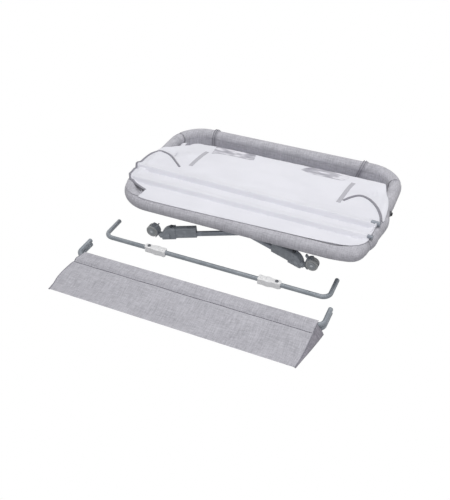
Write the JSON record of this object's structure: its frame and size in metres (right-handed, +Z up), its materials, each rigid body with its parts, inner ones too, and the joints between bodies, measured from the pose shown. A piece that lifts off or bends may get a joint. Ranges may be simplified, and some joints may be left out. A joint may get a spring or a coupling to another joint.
{
  "type": "bassinet on stand",
  "caption": "Folding bassinet packed flat: padded oval rim and fabric basket, hinged A-shaped leg frames with casters beneath, loose support bar and storage shelf beside it.",
  "frame": {"origin": "on the floor under the centre of the whole set: crib, support bar and storage shelf", "axes": "+X along the crib to the right end, +Y from the shelf towards the back of the crib, +Z up"},
  "size_m": [0.968, 0.9797, 0.1567],
  "materials": {
    "fabric_rim": "light grey melange woven cover over soft padding",
    "binding_tape": "grey double-stitched tape",
    "steel_tube": "slate grey satin powder coat",
    "leg_steel": "slate grey satin powder coat on oval tube",
    "hub_plastic": "dark grey moulded plastic",
    "liner_fabric": "white to pale lavender soft knitted liner",
    "shelf_fabric": "light grey melange woven cloth, folded double",
    "board": "fabric-covered padded board",
    "clip_plastic": "milky white moulded plastic",
    "bare_steel": "plain zinc-plated steel",
    "foot_plastic": "blue-grey moulded plastic, fine grain",
    "wheel_plastic": "mid grey moulded wheel with a dished face"
  },
  "bodies": {
    "storage_shelf": {"shelf_tube_top": "steel_tube", "shelf_tube_bottom": "steel_tube", "shelf_cloth": "shelf_fabric"},
    "support_bar": {"support_bar": "steel_tube", "clip_left": "clip_plastic", "clip_right": "clip_plastic", "clip_screws": "bare_steel"},
    "basket": {"rim_tube": "steel_tube", "rim_pad_front": "fabric_rim", "rim_pad_back": "fabric_rim", "rim_pad_left": "fabric_rim", "rim_pad_right": "fabric_rim", "rim_straps": "binding_tape", "hub_left": "hub_plastic", "hub_right": "hub_plastic", "hinge_pin_left": "bare_steel", "hinge_pin_right": "bare_steel", "liner_walls": "liner_fabric"},
    "basket_floor": {"floor_board": "board", "floor_bar_back": "steel_tube", "floor_bar_front": "steel_tube", "floor_bar_caps": "hub_plastic", "floor_cloth": "liner_fabric"},
    "left_release_button": {"release_button_left": "hub_plastic"},
    "right_release_button": {"release_button_right": "hub_plastic"},
    "right_leg_frame": {"yoke_right": "hub_plastic", "leg_post_right_front": "leg_steel", "leg_post_right_back": "leg_steel"},
    "left_leg_frame": {"yoke_left": "hub_plastic", "leg_post_left_front": "leg_steel", "leg_post_left_back": "leg_steel"},
    "right_front_foot": {"foot_right_front": "foot_plastic", "height_sleeve_right_front": "foot_plastic"},
    "right_front_height_button": {"height_button_right_front": "foot_plastic"},
    "right_front_caster": {"caster_fork_right_front": "foot_plastic", "caster_axle_right_front": "bare_steel"},
    "right_front_wheels": {"caster_wheels_right_front": "wheel_plastic"},
    "right_back_foot": {"foot_right_back": "foot_plastic", "height_sleeve_right_back": "foot_plastic"},
    "right_back_height_button": {"height_button_right_back": "foot_plastic"},
    "right_back_caster": {"caster_fork_right_back": "foot_plastic", "caster_axle_right_back": "bare_steel"},
    "right_back_wheels": {"caster_wheels_right_back": "wheel_plastic"},
    "left_front_foot": {"foot_left_front": "foot_plastic", "height_sleeve_left_front": "foot_plastic"},
    "left_front_height_button": {"height_button_left_front": "foot_plastic"},
    "left_front_caster": {"caster_fork_left_front": "foot_plastic", "caster_axle_left_front": "bare_steel"},
    "left_front_wheels": {"caster_wheels_left_front": "wheel_plastic"},
    "left_back_foot": {"foot_left_back": "foot_plastic", "height_sleeve_left_back": "foot_plastic"},
    "left_back_height_button": {"height_button_left_back": "foot_plastic"},
    "left_back_caster": {"caster_fork_left_back": "foot_plastic", "caster_axle_left_back": "bare_steel"},
    "left_back_wheels": {"caster_wheels_left_back": "wheel_plastic"}
  },
  "joints": [
    {"name": "raise", "type": "slide", "parent": "storage_shelf", "child": "basket", "axis": [0, 0, 1], "range_m": [0, 0.69695]},
    {"name": "right_leg_fold", "type": "hinge", "parent": "basket", "child": "right_leg_frame", "pos_m": [0.456, 0.18715, 0.088], "axis": [0, -1, 0], "range_deg": [0, 84.06]},
    {"name": "left_leg_fold", "type": "hinge", "parent": "basket", "child": "left_leg_frame", "pos_m": [-0.434, 0.18715, 0.042], "axis": [0, 1, 0], "range_deg": [0, 87.51]},
    {"name": "floor_drop", "type": "slide", "parent": "basket", "child": "basket_floor", "axis": [0, 0, -1], "range_m": [0, 0.1901], "deforming": ["liner_walls"]},
    {"name": "support_bar_lift", "type": "slide", "parent": "storage_shelf", "child": "support_bar", "axis": [0, 0, 1], "range_m": [0, 0.08]},
    {"name": "left_release_press", "type": "slide", "parent": "basket", "child": "left_release_button", "axis": [1, 0, 0], "range_m": [0, 0.003], "stiffness_N_per_m": 400},
    {"name": "right_release_press", "type": "slide", "parent": "basket", "child": "right_release_button", "axis": [-1, 0, 0], "range_m": [0, 0.003], "stiffness_N_per_m": 400},
    {"name": "right_front_leg_height", "type": "slide", "parent": "right_leg_frame", "child": "right_front_foot", "axis": [0.9448, 0.3124, 0.0985], "range_m": [0, 0.04]},
    {"name": "right_front_height_press", "type": "slide", "parent": "right_front_foot", "child": "right_front_height_button", "axis": [0.1037, 0, -0.9946], "range_m": [0, 0.003], "stiffness_N_per_m": 400},
    {"name": "right_front_swivel", "type": "hinge", "parent": "right_front_foot", "child": "right_front_caster", "pos_m": [-0.273, -0.08785, 0.012], "axis": [-0.9946, 0, -0.1037], "continuous": true},
    {"name": "right_front_roll", "type": "hinge", "parent": "right_front_caster", "child": "right_front_wheels", "pos_m": [-0.30435, -0.08785, 0.02341], "axis": [0, 1, 0], "continuous": true},
    {"name": "right_back_leg_height", "type": "slide", "parent": "right_leg_frame", "child": "right_back_foot", "axis": [0.9448, -0.3124, 0.0985], "range_m": [0, 0.04]},
    {"name": "right_back_height_press", "type": "slide", "parent": "right_back_foot", "child": "right_back_height_button", "axis": [0.1037, 0, -0.9946], "range_m": [0, 0.003], "stiffness_N_per_m": 400},
    {"name": "right_back_swivel", "type": "hinge", "parent": "right_back_foot", "child": "right_back_caster", "pos_m": [-0.273, 0.46215, 0.012], "axis": [-0.9946, 0, -0.1037], "continuous": true},
    {"name": "right_back_roll", "type": "hinge", "parent": "right_back_caster", "child": "right_back_wheels", "pos_m": [-0.30435, 0.46215, 0.02341], "axis": [0, 1, 0], "continuous": true},
    {"name": "left_front_leg_height", "type": "slide", "parent": "left_leg_frame", "child": "left_front_foot", "axis": [-0.9558, 0.2911, 0.0418], "range_m": [0, 0.04]},
    {"name": "left_front_height_press", "type": "slide", "parent": "left_front_foot", "child": "left_front_height_button", "axis": [-0.0437, 0, -0.999], "range_m": [0, 0.003], "stiffness_N_per_m": 400},
    {"name": "left_front_swivel", "type": "hinge", "parent": "left_front_foot", "child": "left_front_caster", "pos_m": [0.2523, -0.04385, 0.012], "axis": [0.999, 0, -0.0437], "continuous": true},
    {"name": "left_front_roll", "type": "hinge", "parent": "left_front_caster", "child": "left_front_wheels", "pos_m": [0.2829, -0.04385, 0.02528], "axis": [0, 1, 0], "continuous": true},
    {"name": "left_back_leg_height", "type": "slide", "parent": "left_leg_frame", "child": "left_back_foot", "axis": [-0.9558, -0.2911, 0.0418], "range_m": [0, 0.04]},
    {"name": "left_back_height_press", "type": "slide", "parent": "left_back_foot", "child": "left_back_height_button", "axis": [-0.0437, 0, -0.999], "range_m": [0, 0.003], "stiffness_N_per_m": 400},
    {"name": "left_back_swivel", "type": "hinge", "parent": "left_back_foot", "child": "left_back_caster", "pos_m": [0.2523, 0.41815, 0.012], "axis": [0.999, 0, -0.0437], "continuous": true},
    {"name": "left_back_roll", "type": "hinge", "parent": "left_back_caster", "child": "left_back_wheels", "pos_m": [0.2829, 0.41815, 0.02528], "axis": [0, 1, 0], "continuous": true}
  ],
  "couplings": [
    {"joint": "right_leg_fold", "follows": "raise", "rad_per_m": 2.1048},
    {"joint": "left_leg_fold", "follows": "raise", "rad_per_m": 2.1911},
    {"joint": "floor_drop", "follows": "raise", "ratio": 0.27262},
    {"joint": "right_back_leg_height", "follows": "right_front_leg_height", "ratio": 1},
    {"joint": "left_back_leg_height", "follows": "left_front_leg_height", "ratio": 1}
  ]
}
